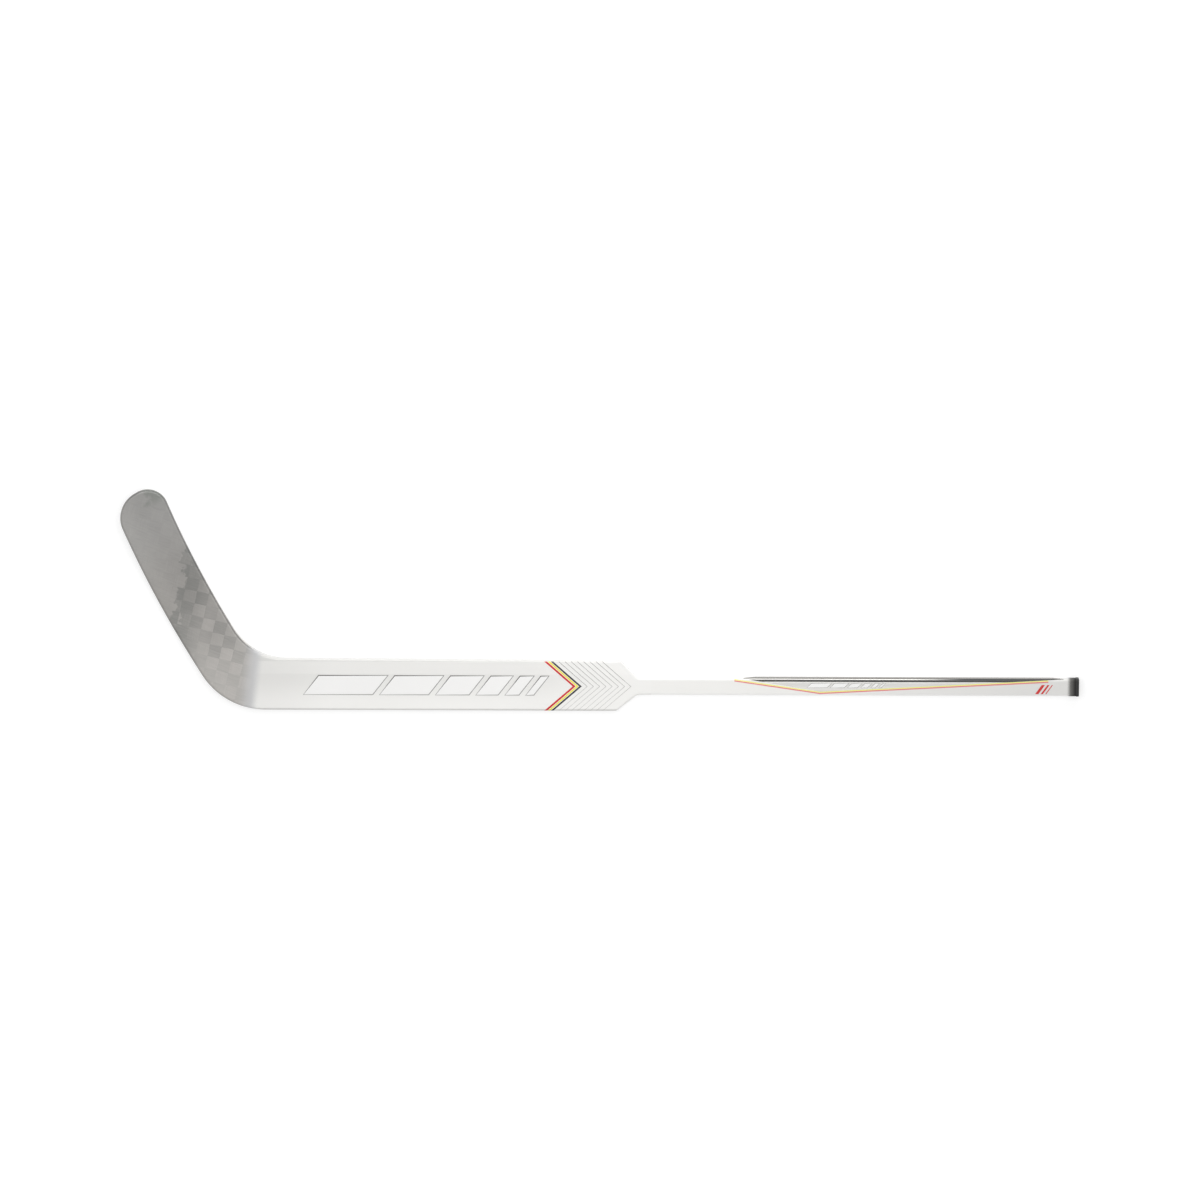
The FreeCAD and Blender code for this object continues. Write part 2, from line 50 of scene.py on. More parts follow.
UP = (0.0, 0.0, 1.0)


# Shader helpers

def feed(tree, plug, source):
    """Wire a socket to a plug, or set the plug to a number, vector or colour."""
    if isinstance(source, bpy.types.NodeSocket):
        tree.links.new(source, plug)
    else:
        plug.default_value = source


def add(tree, kind, wires=None, **settings):
    """Add a node, set what it is told and feed its sockets."""
    made = tree.nodes.new(kind)
    for name, choice in settings.items():
        setattr(made, name, choice)
    for socket, source in (wires or {}).items():
        feed(tree, made.inputs[socket], source)
    return made


def sums(tree, operation, *terms, clamp=False):
    """A Math node of sockets and numbers."""
    return add(tree, "ShaderNodeMath", dict(enumerate(terms)), operation=operation, use_clamp=clamp).outputs[0]


def vectors(tree, operation, *terms):
    """A Vector Math node of sockets and vectors."""
    made = add(tree, "ShaderNodeVectorMath", dict(enumerate(terms)), operation=operation)
    return made.outputs["Value" if operation == "DOT_PRODUCT" else "Vector"]


def ease(tree, source, start, end, low=0.0, high=1.0):
    """A soft step of a value between two places."""
    wires = {"Value": source, "From Min": start, "From Max": end, "To Min": low, "To Max": high}
    return add(tree, "ShaderNodeMapRange", wires, interpolation_type="SMOOTHSTEP").outputs["Result"]


def swing(tree, source, reach):
    """A value from 0 to 1, brought to swing about 0 over this reach."""
    return sums(tree, "MULTIPLY", sums(tree, "SUBTRACT", source, 0.5), reach)


def blend(tree, share, first, second):
    """A mix of two colours, by a socket or a number."""
    return add(tree, "ShaderNodeMix", {0: share, 6: first, 7: second}, data_type="RGBA").outputs[2]


def noise(tree, place, scale, detail=2.0, roughness=0.5):
    """A Noise Texture's value."""
    wires = {"Vector": place, "Scale": scale, "Detail": detail, "Roughness": roughness}
    return add(tree, "ShaderNodeTexNoise", wires).outputs["Fac"]


def object_place(tree):
    """Where a point of the surface is on the stick."""
    return add(tree, "ShaderNodeTexCoord").outputs["Object"]


def split(tree, place):
    """The X, Y and Z of a place."""
    return add(tree, "ShaderNodeSeparateXYZ", {0: place}).outputs


def turned(tree, place, angle):
    """A place turned in the plane of the stick."""
    return add(tree, "ShaderNodeVectorRotate", {"Vector": place, "Axis": UP, "Angle": angle}).outputs[0]


def grey(tree, level):
    """A grey of one level."""
    return add(tree, "ShaderNodeCombineXYZ", {0: level, 1: level, 2: level}).outputs[0]


def new_group(name, inputs, outputs):
    """An empty shader group with its sockets; returns it with its inner ends."""
    group = bpy.data.node_groups.new(name, "ShaderNodeTree")
    for socket, (kind, default) in inputs.items():
        made = group.interface.new_socket(socket, in_out="INPUT", socket_type=kind)
        made.default_value = default
    for socket, kind in outputs.items():
        group.interface.new_socket(socket, in_out="OUTPUT", socket_type=kind)
    return group, group.nodes.new("NodeGroupInput").outputs, group.nodes.new("NodeGroupOutput").inputs


def use_group(tree, group, **values):
    """Put a shared effect into a material and feed it; returns its outputs."""
    return add(tree, "ShaderNodeGroup", values, node_tree=group).outputs


def new_tree(owner):
    """The emptied node tree of a material or a world."""
    owner.use_nodes = True
    owner.node_tree.nodes.clear()
    return owner.node_tree


def new_material(name, **settings):
    """A material with one Principled shader; returns it with its tree and the shader's sockets."""
    material = bpy.data.materials.new(name)
    tree = new_tree(material)
    shader = add(tree, "ShaderNodeBsdfPrincipled", {k.replace("_", " "): v for k, v in settings.items()})
    add(tree, "ShaderNodeOutputMaterial", {"Surface": shader.outputs["BSDF"]})
    return material, tree, shader.inputs


def dress(tree, shader, colour, roughness, height=None, depth=0.0):
    """Wire the colour, the roughness and the fine relief of a finish into its shader."""
    tree.links.new(colour, shader["Base Color"])
    tree.links.new(roughness, shader["Roughness"])
    if height is not None:
        bump = add(tree, "ShaderNodeBump", {"Height": height, "Distance": depth})
        tree.links.new(bump.outputs["Normal"], shader["Normal"])


# Shared effects

FLOAT, COLOUR, VECTOR = "NodeSocketFloat", "NodeSocketColor", "NodeSocketVector"


def make_carbon_weave():
    """Spread tows of carbon, woven in squares: tone, roughness and height."""
    group, given, put = new_group(
        "carbon_weave",
        {"Place": (VECTOR, (0.0, 0.0, 0.0)), "Square": (FLOAT, WEAVE_SQUARE), "Turn": (FLOAT, WEAVE_TURN),
         "Show": (FLOAT, 1.0)},
        {"Tone": FLOAT, "Roughness": FLOAT, "Height": FLOAT})
    flat = vectors(group, "MULTIPLY", turned(group, given["Place"], given["Turn"]), (1.0, 1.0, 0.0))
    size = add(group, "ShaderNodeCombineXYZ", {0: given["Square"], 1: given["Square"], 2: 1.0}).outputs[0]
    grid = vectors(group, "DIVIDE", flat, size)
    # the tows wander a little
    drift = add(group, "ShaderNodeTexNoise", {"Vector": grid, "Scale": 0.9, "Detail": 2.0}).outputs["Color"]
    drift = vectors(group, "MULTIPLY", vectors(group, "SUBTRACT", drift, (0.5, 0.5, 0.5)), (0.16, 0.16, 0.0))
    grid = vectors(group, "ADD", vectors(group, "ADD", grid, drift), (0.0, 0.0, 0.5))
    checker = add(group, "ShaderNodeTexChecker", {"Vector": grid, "Scale": 1.0}).outputs["Fac"]
    square = add(group, "ShaderNodeTexWhiteNoise", {"Vector": vectors(group, "FLOOR", grid)},
                 noise_dimensions="3D").outputs["Value"]
    # fibres run one way in one square and across it in the next
    along = noise(group, vectors(group, "MULTIPLY", grid, (0.9, 34.0, 1.0)), 1.0, 4.0, 0.65)
    across = noise(group, vectors(group, "MULTIPLY", grid, (34.0, 0.9, 1.0)), 1.0, 4.0, 0.65)
    fibre = add(group, "ShaderNodeMix", {0: checker, 2: along, 3: across}).outputs[0]
    # the step at the border of a square, with painted shade along it that darkens the tone
    inside = vectors(group, "FRACTION", grid)
    border = split(group, vectors(group, "ABSOLUTE", vectors(group, "SUBTRACT", inside, (0.5, 0.5, 0.5))))
    step = ease(group, sums(group, "MAXIMUM", border[0], border[1]), 0.47, 0.5)
    tone = sums(group, "ADD", swing(group, checker, 0.24), swing(group, square, 0.20))
    tone = sums(group, "SUBTRACT", tone, sums(group, "MULTIPLY", step, 0.12))
    tone = sums(group, "MULTIPLY", tone, given["Show"])
    tone = sums(group, "ADD", tone, swing(group, fibre, 0.55))
    feed(group, put["Tone"], sums(group, "ADD", tone, 0.5, clamp=True))
    feed(group, put["Roughness"], sums(group, "MULTIPLY_ADD", fibre, 0.22, 0.30))
    shown_step = sums(group, "MULTIPLY", step, given["Show"])
    feed(group, put["Height"], sums(group, "SUBTRACT", sums(group, "MULTIPLY", fibre, 0.5), shown_step))
    return group


def make_paint_skin():
    """The slight waviness and dust of a sprayed coat: a tint, roughness and height."""
    group, given, put = new_group(
        "paint_skin",
        {"Place": (VECTOR, (0.0, 0.0, 0.0)), "Base": (COLOUR, (0.8, 0.8, 0.8, 1.0)), "Gloss": (FLOAT, 0.3)},
        {"Color": COLOUR, "Roughness": FLOAT, "Height": FLOAT})
    cloud = noise(group, given["Place"], 9.0, 3.0)
    speck = noise(group, given["Place"], 900.0, 2.0)
    shade = sums(group, "ADD", swing(group, cloud, 0.05), swing(group, speck, 0.03))
    tint = grey(group, sums(group, "ADD", shade, 1.0))
    feed(group, put["Color"], vectors(group, "MULTIPLY", given["Base"], tint))
    feed(group, put["Roughness"], sums(group, "ADD", given["Gloss"], sums(group, "MULTIPLY", shade, 1.5)))
    feed(group, put["Height"], noise(group, given["Place"], 420.0, 2.0))
    return group


carbon_weave = make_carbon_weave()
paint_skin = make_paint_skin()


def blade_reach(tree, place):
    """How far a place is along the blade from the heel, and how far across it from its lower edge."""
    from_heel = vectors(tree, "SUBTRACT", place, (0.0, -PADDLE_HALF, 0.0))
    along = vectors(tree, "DOT_PRODUCT", from_heel, (-math.cos(BLADE_TURN), math.sin(BLADE_TURN), 0.0))
    across = vectors(tree, "DOT_PRODUCT", from_heel, (math.sin(BLADE_TURN), math.cos(BLADE_TURN), 0.0))
    return along, across


def rim_shade(tree):
    """Painted light and shade on the carbon by where it faces: a painted dark line on the rounded rim, darkest
    where it faces the upper edge, and painted light that makes the sides pale.
    """
    normal = add(tree, "ShaderNodeTexCoord").outputs["Normal"]
    facing = sums(tree, "ABSOLUTE", vectors(tree, "DOT_PRODUCT", normal, UP))
    rim = sums(tree, "MULTIPLY", ease(tree, facing, 0.90, 0.985, 1.0, 0.0), ease(tree, facing, 0.20, 0.45))
    upper = vectors(tree, "DOT_PRODUCT", normal, (0.3, 0.95, 0.0))
    rim = sums(tree, "MULTIPLY", rim, ease(tree, upper, -0.2, 0.3, 0.10, 0.42))
    return sums(tree, "MULTIPLY", sums(tree, "SUBTRACT", 1.0, rim), ease(tree, facing, 0.12, 0.45, 1.7, 1.0))


def carbon_finish(tree, place):
    """Bare carbon of the blade: colour, roughness and height. The weave ends before the toe."""
    along, across = blade_reach(tree, place)
    ragged = sums(tree, "ADD", across, swing(tree, noise(tree, place, 60.0, 3.0), 0.05))
    # the woven part ends at a torn line that leans across the blade and steps with the squares
    lean = sums(tree, "MULTIPLY_ADD", across, -1.27, along)
    squares = vectors(tree, "SNAP", turned(tree, place, WEAVE_TURN), (WEAVE_SQUARE, WEAVE_SQUARE, 1.0))
    steps = swing(tree, noise(tree, squares, 43.0, 1.0), 0.09)
    frays = swing(tree, noise(tree, place, 90.0, 2.0), 0.036)
    torn = sums(tree, "ADD", lean, sums(tree, "ADD", steps, frays))
    show = sums(tree, "MULTIPLY", ease(tree, torn, 0.172, 0.186, 1.0, 0.14), ease(tree, along, 0.0, 0.07, 0.3, 1.0))
    show = sums(tree, "MULTIPLY", show, ease(tree, ragged, 0.0, 0.045, 0.35, 1.0))
    weave = use_group(tree, carbon_weave, Place=place, Show=show)
    # sanded streaks across the blade and slow changes of tone
    streaked = vectors(tree, "MULTIPLY", turned(tree, place, math.radians(24)), (20.0, 420.0, 1.0))
    streak = noise(tree, streaked, 1.0, 4.0, 0.6)
    cloud = noise(tree, place, 26.0, 3.0, 0.55)
    tone = sums(tree, "ADD", weave["Tone"], swing(tree, cloud, 0.30))
    tone = sums(tree, "ADD", tone, swing(tree, streak, 0.36))
    # darker before the torn line, and a patch at the toe
    patch = sums(tree, "MULTIPLY", ease(tree, torn, 0.176, 0.180, 1.0, 0.0), ease(tree, lean, 0.085, 0.165))
    tone = sums(tree, "SUBTRACT", tone, sums(tree, "MULTIPLY", patch, 0.40))
    toe_patch = sums(tree, "MULTIPLY", ease(tree, ragged, 0.050, 0.062), ease(tree, along, 0.359, 0.375))
    tone = sums(tree, "SUBTRACT", tone, sums(tree, "MULTIPLY", toe_patch, 0.22), clamp=True)
    colour = blend(tree, tone, (0.240, 0.238, 0.225, 1.0), (0.464, 0.439, 0.417, 1.0))
    colour = blend(tree, sums(tree, "MULTIPLY", toe_patch, 0.35), colour, (0.20, 0.225, 0.185, 1.0))
    # painted light and shade: the carbon is drawn paler at the heel and along the lower edge, darker in the middle
    # and paler at the toe, and is multiplied by the painted rim shade; the toe is also a cooler grey
    level = sums(tree, "ADD", ease(tree, along, 0.01, 0.14, 1.26, 0.90), ease(tree, along, 0.14, 0.20, 0.0, -0.07))
    level = sums(tree, "ADD", level, ease(tree, across, 0.045, 0.0, 0.0, 0.13))
    toe = vectors(tree, "MULTIPLY", grey(tree, ease(tree, along, 0.2, 0.36)), (0.110, 0.128, 0.148))
    light = vectors(tree, "MULTIPLY", vectors(tree, "ADD", grey(tree, level), toe), grey(tree, rim_shade(tree)))
    return vectors(tree, "MULTIPLY", colour, light), weave["Roughness"], weave["Height"]


def spray_drops(tree, place, reach):
    """How far the edge of a sprayed coat strays, drop by drop."""
    return swing(tree, noise(tree, place, 1400.0, 1.0), reach)


def sprayed(tree, place, bare, white):
    """White sprayed over bare carbon beyond the heel, with a leaning edge of mist; returns colour and cover."""
    x, y, _ = split(tree, place)
    reach = sums(tree, "SUBTRACT", x, sums(tree, "MULTIPLY", y, 0.13))
    reach = sums(tree, "ADD", reach, spray_drops(tree, place, 0.006))
    mist = blend(tree, ease(tree, reach, 0.020, 0.050, 0.0, 0.9), bare, (0.56, 0.562, 0.57, 1.0))
    cover = ease(tree, reach, 0.043, 0.060)
    return blend(tree, cover, mist, white), cover


# Finishes

def make_blade_carbon():
    """Bare carbon under a thinly laid clear coat, with the start of the paddle's white."""
    material, tree, shader = new_material("bare_blade_carbon", Metallic=0.15, Coat_Weight=0.3, Coat_Roughness=0.2)
    place = object_place(tree)
    carbon, roughness, height = carbon_finish(tree, place)
    colour, _ = sprayed(tree, place, carbon, (0.80, 0.793, 0.772, 1.0))
    dress(tree, shader, colour, roughness, height, 0.00006)
    return material


def make_paddle_white():
    """White lacquer, sprayed ever thinner over the carbon towards the blade, with painted shade on its upper facet
    and rounded edges.
    """
    material, tree, shader = new_material("paddle_white_lacquer", Coat_Weight=0.25, Coat_Roughness=0.18)
    place = object_place(tree)
    carbon, _, carbon_height = carbon_finish(tree, place)
    paint = use_group(tree, paint_skin, Place=place, Base=(0.86, 0.853, 0.832, 1.0), Gloss=0.34)
    x, y, _ = split(tree, place)
    # painted shade: the white is drawn a little darker towards the upper facet, darkest just below the crease, but
    # not at the shoulders
    shade_and_thin_coat = sums(tree, "ADD", ease(tree, y, -0.036, CREASE, 0.0, 0.40),
                ease(tree, y, CREASE - 0.0012, CREASE + 0.0012, 0.0, -0.10))
    shade_and_thin_coat = sums(tree, "MULTIPLY", shade_and_thin_coat, ease(tree, x, 0.50, 0.65, 1.0, 0.1))
    # the coat is thinner just past the sprayed edge too, and painted shade darkens both rounded edges, most the
    # lower one
    shade_and_thin_coat = sums(tree, "ADD", shade_and_thin_coat, ease(tree, x, 0.06, 0.20, 0.16, 0.0))
    shade_and_thin_coat = sums(tree, "ADD", shade_and_thin_coat, ease(tree, y, 0.0048 - PADDLE_HALF, 0.0008 - PADDLE_HALF, 0.0, 0.85))
    shade_and_thin_coat = sums(tree, "ADD", shade_and_thin_coat, ease(tree, y, PADDLE_HALF - 0.0020, PADDLE_HALF - 0.0003, 0.0, 0.28))
    white = blend(tree, shade_and_thin_coat, paint["Color"], (0.60, 0.595, 0.575, 1.0))
    colour, cover = sprayed(tree, place, carbon, white)
    height = sums(tree, "MULTIPLY", paint["Height"], 0.35)
    bare_height = sums(tree, "MULTIPLY", carbon_height, sums(tree, "SUBTRACT", 1.0, cover))
    dress(tree, shader, colour, paint["Roughness"], sums(tree, "ADD", height, bare_height), 0.00005)
    return material


def make_shaft_white():
    """White lacquer that turns black at the butt end."""
    material, tree, shader = new_material("shaft_lacquer", Coat_Roughness=0.18)
    place = object_place(tree)
    paint = use_group(tree, paint_skin, Place=place, Base=(0.845, 0.838, 0.815, 1.0), Gloss=0.32)
    x, y, _ = split(tree, place)
    along = sums(tree, "ADD", x, spray_drops(tree, place, 0.003))
    # the white is a little duller towards the butt end, and painted light makes it whiter along the lower corner
    white = blend(tree, ease(tree, along, 0.75, 1.40, 0.0, 0.6), paint["Color"], (0.66, 0.655, 0.64, 1.0))
    painted_corner_light = ease(tree, y, CORNER - SHAFT_HALF, CORNER * 0.35 - SHAFT_HALF)
    white = blend(tree, painted_corner_light, white, (0.97, 0.965, 0.95, 1.0))
    end = ease(tree, along, BUTT - 0.0164, BUTT - 0.0085)
    dusk = blend(tree, end, white, (0.13, 0.128, 0.122, 1.0))
    black = blend(tree, ease(tree, along, BUTT - 0.0095, BUTT - 0.0010), dusk, (0.024, 0.0235, 0.023, 1.0))
    # the black is matt, as it is sprayed on last
    roughness = sums(tree, "MULTIPLY_ADD", end, 0.30, paint["Roughness"])
    feed(tree, shader["Coat Weight"], sums(tree, "MULTIPLY_ADD", end, -0.25, 0.25))
    feed(tree, shader["Specular IOR Level"], sums(tree, "MULTIPLY_ADD", end, -0.30, 0.5))
    dress(tree, shader, black, roughness, paint["Height"], 0.00002)
    return material


def make_print(name, colour, gloss=0.35):
    """Ink of a printed film."""
    material, tree, shader = new_material(name)
    paint = use_group(tree, paint_skin, Place=object_place(tree), Base=colour, Gloss=gloss)
    dress(tree, shader, paint["Color"], paint["Roughness"], paint["Height"], 0.00001)
    return material


def make_line_ink():
    """Grey of the fine lines, dark near the upper edge and pale near the lower one."""
    material, tree, shader = new_material("line_ink")
    place = object_place(tree)
    grain = noise(tree, place, 800.0)
    fade = ease(tree, split(tree, place)[1], -0.030, 0.030)
    fade = sums(tree, "ADD", fade, sums(tree, "MULTIPLY", grain, 0.06), clamp=True)
    colour = blend(tree, fade, (0.44, 0.436, 0.42, 1.0), (0.10, 0.098, 0.09, 1.0))
    dress(tree, shader, colour, sums(tree, "MULTIPLY_ADD", grain, 0.2, 0.25))
    return material


def make_mirror_foil():
    """Silver foil with painted reflections: bands as a mirror shows them, from the front face round the corner and
    down the side.
    """
    material, tree, shader = new_material("mirror_foil", Metallic=0.35, Coat_Weight=0.3, Coat_Roughness=0.08)
    place = object_place(tree)
    # how far round the shaft a place is, from the middle of the front face
    wrap = sums(tree, "ADD", vectors(tree, "DOT_PRODUCT", place, (0.0, 1.0, -1.0)), FRONT)
    # painted reflection: the bands waver a little along the shaft
    wave = swing(tree, noise(tree, vectors(tree, "MULTIPLY", place, (3.0, 30.0, 30.0)), 1.0, 1.0), 0.0012)
    level = add(tree, "ShaderNodeMapRange", {
        "Value": sums(tree, "ADD", wrap, wave), "From Min": -0.010, "From Max": 0.032}).outputs["Result"]
    # painted reflections: silver bands, a dark band round the corner and bronze down the side
    silver, dark, bronze = (0.84, 0.83, 0.80), (0.026, 0.025, 0.023), (0.125, 0.112, 0.092)
    stops = ((0.0, silver, 0.86), (0.14, silver, 1.02), (0.24, silver, 1.0), (0.31, silver, 0.91),
             (0.405, silver, 0.88), (0.43, silver, 1.06), (0.450, silver, 1.06),
             (0.462, dark, 1.0), (0.552, dark, 1.1), (0.567, silver, 1.08), (0.605, silver, 1.08),
             (0.622, bronze, 1.0), (1.0, bronze, 0.85))
    ramp = add(tree, "ShaderNodeValToRGB", {"Fac": level})
    elements = ramp.color_ramp.elements
    while len(elements) < len(stops):
        elements.new(0.5)
    for element, (position, colour, strength) in zip(elements, stops):
        element.position = position
        element.color = (*(channel * strength for channel in colour), 1.0)
    # painted reflection: towards the butt end the dark band spreads round the corner
    deep = sums(tree, "MULTIPLY", ease(tree, split(tree, place)[0], 1.15, 1.25), ease(tree, level, 0.50, 0.53))
    deep = sums(tree, "MULTIPLY", deep, ease(tree, level, 0.62, 0.66, 1.0, 0.0))
    colour = blend(tree, deep, ramp.outputs["Color"], (0.034, 0.036, 0.040, 1.0))
    dress(tree, shader, colour, sums(tree, "MULTIPLY_ADD", noise(tree, place, 300.0), 0.10, 0.16))
    return material


def make_plug_rubber():
    """Black rubber with a fine grain."""
    material, tree, shader = new_material("plug_rubber")
    grain = noise(tree, object_place(tree), 700.0, 3.0)
    colour = blend(tree, grain, (0.010, 0.010, 0.010, 1.0), (0.026, 0.026, 0.026, 1.0))
    dress(tree, shader, colour, sums(tree, "MULTIPLY_ADD", grain, 0.25, 0.45), grain, 0.00008)
    return material


def make_core_foam():
    """Buff foam with small cells."""
    material, tree, shader = new_material("core_foam")
    wires = {"Vector": object_place(tree), "Scale": 900.0}
    cells = add(tree, "ShaderNodeTexVoronoi", wires).outputs["Distance"]
    colour = blend(tree, cells, (0.62, 0.53, 0.34, 1.0), (0.84, 0.77, 0.56, 1.0))
    dress(tree, shader, colour, sums(tree, "MULTIPLY_ADD", cells, 0.15, 0.75), cells, 0.0003)
    return material


def make_rail_wood():
    """Wood with its grain along the stick."""
    material, tree, shader = new_material("rail_wood")
    grain = noise(tree, vectors(tree, "MULTIPLY", object_place(tree), (6.0, 240.0, 240.0)), 1.0, 5.0, 0.6)
    colour = blend(tree, grain, (0.45, 0.29, 0.15, 1.0), (0.72, 0.55, 0.34, 1.0))
    dress(tree, shader, colour, sums(tree, "MULTIPLY_ADD", grain, 0.2, 0.5), grain, 0.0002)
    return material


def make_glass_web():
    """Pale green glass laminate with its strands along the stick."""
    material, tree, shader = new_material("glass_web")
    strand = noise(tree, vectors(tree, "MULTIPLY", object_place(tree), (9.0, 500.0, 500.0)), 1.0, 3.0)
    colour = blend(tree, strand, (0.46, 0.49, 0.36, 1.0), (0.70, 0.72, 0.58, 1.0))
    dress(tree, shader, colour, sums(tree, "MULTIPLY_ADD", strand, 0.2, 0.35), strand, 0.0001)
    return material


def make_tenon_carbon():
    """Black carbon in a small weave."""
    material, tree, shader = new_material("tenon_carbon")
    weave = use_group(tree, carbon_weave, Place=object_place(tree), Square=0.004, Turn=math.radians(45))
    colour = blend(tree, weave["Tone"], (0.012, 0.012, 0.013, 1.0), (0.060, 0.060, 0.062, 1.0))
    dress(tree, shader, colour, weave["Roughness"], weave["Height"], 0.00005)
    return material


finishes = {
    make_blade_carbon(): ("blade_front_shell", "blade_back_shell"),
    make_paddle_white(): ("paddle_front_shell", "paddle_back_shell"),
    make_shaft_white(): ("shaft_tube",),
    make_plug_rubber(): ("end_plug",),
    make_core_foam(): ("paddle_upper_core", "paddle_centre_core", "paddle_lower_core", "heel_core",
                       "blade_lower_core", "blade_upper_core", "blade_toe_core"),
    make_rail_wood(): ("paddle_upper_rail", "paddle_lower_rail", "shoulder_block"),
    make_glass_web(): ("paddle_upper_stringer", "paddle_lower_stringer", "blade_rib"),
    make_tenon_carbon(): ("hosel_tenon",),
}
for finish, names in finishes.items():
    for name in names:
        nodes[name].data.materials.clear()
        nodes[name].data.materials.append(finish)

red_ink = make_print("red_ink", (0.60, 0.030, 0.028, 1.0))
rose_ink = make_print("rose_ink", (0.76, 0.22, 0.235, 1.0))
yellow_ink = make_print("yellow_ink", (0.86, 0.76, 0.035, 1.0))
pale_yellow_ink = make_print("pale_yellow_ink", (0.85, 0.83, 0.20, 1.0))
charcoal_ink = make_print("charcoal_ink", (0.030, 0.030, 0.034, 1.0))
line_ink = make_line_ink()
bright_ink = make_print("bright_ink", (0.865, 0.86, 0.85, 1.0), gloss=0.25)
mirror_foil = make_mirror_foil()


# Printed films

def finish_film(name, mesh, material):
    """Turn the outer face of a film into a closed piece that rides on the stick."""
    bmesh.ops.solidify(mesh, geom=mesh.faces[:], thickness=FILM)
    for face in mesh.faces:
        face.smooth = True
    for edge in mesh.edges:
        edge.smooth = edge.calc_face_angle(0.0) < math.radians(35)
    data = bpy.data.meshes.new(name)
    mesh.to_mesh(data)
    mesh.free()
    data.materials.append(material)
    piece = bpy.data.objects.new(name, data)
    bpy.context.scene.collection.objects.link(piece)
    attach(piece, "stick")


def whole(mesh):
    """All the geometry of a mesh."""
    return mesh.verts[:] + mesh.edges[:] + mesh.faces[:]


def fold(mesh, places):
    """Cut a sheet at places across the stick, so that it can bend there."""
    across = Vector((0.0, 1.0, 0.0))
    for place in places:
        bmesh.ops.bisect_plane(mesh, geom=whole(mesh), plane_co=across * place, plane_no=across)


def lay_on(mesh, node, proud=PROUD):
    """Drop a flat sheet onto the front of a CAD node, so that it stands a little proud of it."""
    surface = BVHTree.FromObject(nodes[node], bpy.context.evaluated_depsgraph_get())
    for vert in mesh.verts:
        spot, normal, _, _ = surface.ray_cast(Vector((vert.co.x, vert.co.y, 1.0)), Vector((0.0, 0.0, -1.0)))
        vert.co = spot + normal * proud


def sheet_of(*outlines):
    """A flat sheet of one or more outlines, each a few corners in order."""
    mesh = bmesh.new()
    for outline in outlines:
        mesh.faces.new([mesh.verts.new((x, y, 0.0)) for x, y in outline])
    bmesh.ops.recalc_face_normals(mesh, faces=mesh.faces[:])
    for face in mesh.faces:
        if face.normal.z < 0:
            face.normal_flip()
    return mesh


def framed(mesh, width, keep):
    """Keep only the line round each outline, or only what is inside it."""
    inner = mesh.faces[:]
    ring = bmesh.ops.inset_individual(mesh, faces=inner, thickness=width)["faces"]
    bmesh.ops.delete(mesh, geom=inner if keep == "line" else ring, context="FACES")
    return mesh


def leaning_bar(start, length, low, high, lean):
    """The outline of a bar whose upper end leans towards the butt end."""
    return [(start, low), (start + length, low), (start + length + lean, high), (start + lean, high)]


def bar_row(start, lengths, gap, low, high, lean):
    """The outlines of a row of leaning bars."""
    bars = []
    for length in lengths:
        bars.append(leaning_bar(start, length, low, high, lean))
        start += length + gap
    return bars


def print_outlined(name, bars, width, node, proud=PROUD):
    """Print bars as two films: the lines round them, and what is inside the lines."""
    for part, keep, ink in (("lines", "line", line_ink), ("fills", "inside", bright_ink)):
        mesh = framed(sheet_of(*bars), width, keep)
        lay_on(mesh, node, proud)
        finish_film(f"{name}_{part}", mesh, ink)


def chevron(start, width, point=0.048, reach=0.0420):
    """A band across the paddle whose middle points to the shaft."""
    return [(start, reach), (start + point, 0.0), (start, -reach),
            (start + width, -reach), (start + width + point, 0.0), (start + width, reach)]


def round_folds(half, angles):
    """Where a film bends on the rounded edge of a half width, at angles round the edge."""
    return [half - CORNER + CORNER * math.sin(math.radians(angle)) for angle in angles]


def print_chevrons():
    """The coloured and fine grey chevrons in front of the shoulders."""
    upper_folds = round_folds(PADDLE_HALF, (8, 26, 42, 56, 68))
    folds = [CREASE, *upper_folds, *(-place for place in upper_folds)]
    fine_lines = [chevron(0.5600 + 0.0105 * count, 0.0008) for count in range(8)]
    bands = (("chevron_red", [chevron(0.5360, 0.0048)], red_ink),
             ("chevron_yellow", [chevron(0.5422, 0.0034)], yellow_ink),
             ("chevron_charcoal", [chevron(0.5470, 0.0042)], charcoal_ink),
             ("chevron_lines", fine_lines, line_ink))
    for name, outlines, ink in bands:
        mesh = sheet_of(*outlines)
        fold(mesh, folds)
        lay_on(mesh, "paddle_front_shell")
        finish_film(name, mesh, ink)


def print_speed_bars():
    """A row of leaning outlined bars along the paddle, each shorter than the one before."""
    bars = bar_row(0.130, (0.118, 0.084, 0.058, 0.039, 0.025, 0.015), 0.010, -0.016, 0.018, 0.026)
    print_outlined("bar", bars, 0.0018, "paddle_front_shell")


